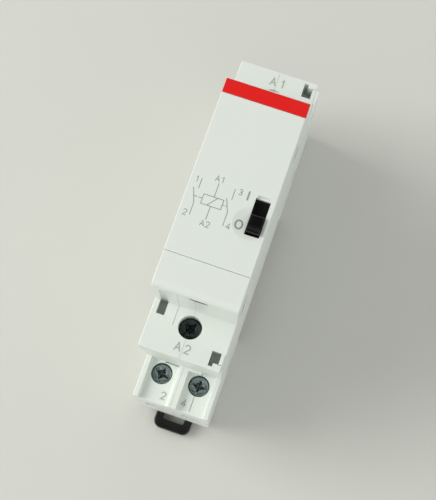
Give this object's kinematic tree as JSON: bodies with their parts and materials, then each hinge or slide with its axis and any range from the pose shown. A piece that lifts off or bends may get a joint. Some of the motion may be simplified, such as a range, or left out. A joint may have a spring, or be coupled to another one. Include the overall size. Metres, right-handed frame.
{
  "type": "din rail contactor",
  "caption": "One-module modular contactor for a mounting rail, with coil terminals, pole terminals, a manual slide on the front and a sliding rail latch.",
  "frame": {"origin": "centre of the face that rests on the front of the 35 mm mounting rail", "axes": "+Z out of the front, away from the rail; +Y towards the coil terminal A1 (up when mounted); +X across the width, to the right seen from the front"},
  "size_m": [0.0176, 0.0857, 0.066],
  "materials": {
    "housing_white": "moulded, satin",
    "header_red": "smooth",
    "moving_black": "moulded, satin",
    "insulator_grey": "moulded",
    "zinc_steel": "zinc plated",
    "soft_iron": "nickel plated, satin",
    "brass": "tinned brass",
    "enamelled_copper": "enamelled wire",
    "contact_silver": "silver alloy",
    "board_green": "solder mask",
    "varistor_blue": "dipped epoxy",
    "lead_red": "wire insulation"
  },
  "bodies": {
    "housing": {"housing_left": "housing_white", "housing_right": "housing_white", "front_cover": "housing_white", "cover_foot": "housing_white", "header_strip": "header_red", "bridge_rectifier": "moving_black", "coil_bobbin": "insulator_grey", "pole_barrier_top": "insulator_grey", "pole_barrier_bottom": "insulator_grey", "armature_spring": "zinc_steel", "shell_rivet_1": "zinc_steel", "shell_rivet_2": "zinc_steel", "shell_rivet_3": "zinc_steel", "shell_rivet_4": "zinc_steel", "coil_core": "soft_iron", "yoke": "soft_iron", "busbar_1": "brass", "busbar_2": "brass", "busbar_3": "brass", "busbar_4": "brass", "coil_tongue_A1": "brass", "coil_tongue_A2": "brass", "coil_winding": "enamelled_copper", "winding_start_lead": "enamelled_copper", "winding_end_lead": "enamelled_copper", "fixed_contact_1": "contact_silver", "fixed_contact_3": "contact_silver", "rectifier_board": "board_green", "varistor": "varistor_blue", "a1_lead": "lead_red"},
    "contact_slide": {"contact_carriage": "insulator_grey", "manual_slider": "moving_black"},
    "armature": {"armature": "soft_iron"},
    "blade_2": {"contact_blade_2": "brass", "moving_contact_2": "contact_silver"},
    "blade_4": {"contact_blade_4": "brass", "moving_contact_4": "contact_silver"},
    "latch": {"din_latch": "moving_black"},
    "screw_1": {"terminal_screw_1": "zinc_steel"},
    "cage_1": {"clamp_cage_1": "zinc_steel"},
    "screw_2": {"terminal_screw_2": "zinc_steel"},
    "cage_2": {"clamp_cage_2": "zinc_steel"},
    "screw_3": {"terminal_screw_3": "zinc_steel"},
    "cage_3": {"clamp_cage_3": "zinc_steel"},
    "screw_4": {"terminal_screw_4": "zinc_steel"},
    "cage_4": {"clamp_cage_4": "zinc_steel"},
    "screw_A1": {"terminal_screw_A1": "zinc_steel"},
    "cage_A1": {"clamp_cage_A1": "zinc_steel"},
    "screw_A2": {"terminal_screw_A2": "zinc_steel"},
    "cage_A2": {"clamp_cage_A2": "zinc_steel"}
  },
  "joints": [
    {"name": "manual_slide", "type": "slide", "parent": "housing", "child": "contact_slide", "axis": [0, 1, 0], "range_m": [0, 0.0033], "stiffness_N_per_m": 150, "springref_m": -0.003},
    {"name": "armature_pivot", "type": "hinge", "parent": "housing", "child": "armature", "pos_m": [0, -0.0089, 0.0276], "axis": [-1, 0, 0], "range_deg": [0, 7.7], "deforming": ["armature_spring"]},
    {"name": "contact_2_flex", "type": "hinge", "parent": "housing", "child": "blade_2", "pos_m": [-0.00475, -0.002, 0.0323], "axis": [-1, 0, 0], "range_deg": [0, 9.5]},
    {"name": "contact_4_flex", "type": "hinge", "parent": "housing", "child": "blade_4", "pos_m": [0.00475, -0.002, 0.0323], "axis": [-1, 0, 0], "range_deg": [0, 9.5]},
    {"name": "latch_pull", "type": "slide", "parent": "housing", "child": "latch", "axis": [0, -1, 0], "range_m": [0, 0.003], "stiffness_N_per_m": 800, "springref_m": -0.002},
    {"name": "screw_1_turn", "type": "hinge", "parent": "housing", "child": "screw_1", "pos_m": [-0.0044, 0.0343, 0.0209], "axis": [0, 0, -1], "range_deg": [0, 1922]},
    {"name": "cage_1_lift", "type": "slide", "parent": "housing", "child": "cage_1", "axis": [0, 0, 1], "range_m": [0, 0.0032]},
    {"name": "screw_2_turn", "type": "hinge", "parent": "housing", "child": "screw_2", "pos_m": [-0.0044, -0.0343, 0.0209], "axis": [0, 0, -1], "range_deg": [0, 1922]},
    {"name": "cage_2_lift", "type": "slide", "parent": "housing", "child": "cage_2", "axis": [0, 0, 1], "range_m": [0, 0.0032]},
    {"name": "screw_3_turn", "type": "hinge", "parent": "housing", "child": "screw_3", "pos_m": [0.0044, 0.0343, 0.0209], "axis": [0, 0, -1], "range_deg": [0, 1922]},
    {"name": "cage_3_lift", "type": "slide", "parent": "housing", "child": "cage_3", "axis": [0, 0, 1], "range_m": [0, 0.0032]},
    {"name": "screw_4_turn", "type": "hinge", "parent": "housing", "child": "screw_4", "pos_m": [0.0044, -0.0343, 0.0209], "axis": [0, 0, -1], "range_deg": [0, 1922]},
    {"name": "cage_4_lift", "type": "slide", "parent": "housing", "child": "cage_4", "axis": [0, 0, 1], "range_m": [0, 0.0032]},
    {"name": "screw_A1_turn", "type": "hinge", "parent": "housing", "child": "screw_A1", "pos_m": [0, 0.026, 0.042], "axis": [0, 0, -1], "range_deg": [0, 1922]},
    {"name": "cage_A1_lift", "type": "slide", "parent": "housing", "child": "cage_A1", "axis": [0, 0, 1], "range_m": [0, 0.0032]},
    {"name": "screw_A2_turn", "type": "hinge", "parent": "housing", "child": "screw_A2", "pos_m": [0, -0.026, 0.042], "axis": [0, 0, -1], "range_deg": [0, 1922]},
    {"name": "cage_A2_lift", "type": "slide", "parent": "housing", "child": "cage_A2", "axis": [0, 0, 1], "range_m": [0, 0.0032]}
  ],
  "couplings": [
    {"joint": "armature_pivot", "follows": "manual_slide", "rad_per_m": 40},
    {"joint": "contact_2_flex", "follows": "manual_slide", "rad_per_m": 49.261},
    {"joint": "contact_4_flex", "follows": "manual_slide", "rad_per_m": 49.261},
    {"joint": "screw_1_turn", "follows": "cage_1_lift", "rad_per_m": 10472},
    {"joint": "screw_2_turn", "follows": "cage_2_lift", "rad_per_m": 10472},
    {"joint": "screw_3_turn", "follows": "cage_3_lift", "rad_per_m": 10472},
    {"joint": "screw_4_turn", "follows": "cage_4_lift", "rad_per_m": 10472},
    {"joint": "screw_A1_turn", "follows": "cage_A1_lift", "rad_per_m": 10472},
    {"joint": "screw_A2_turn", "follows": "cage_A2_lift", "rad_per_m": 10472}
  ]
}
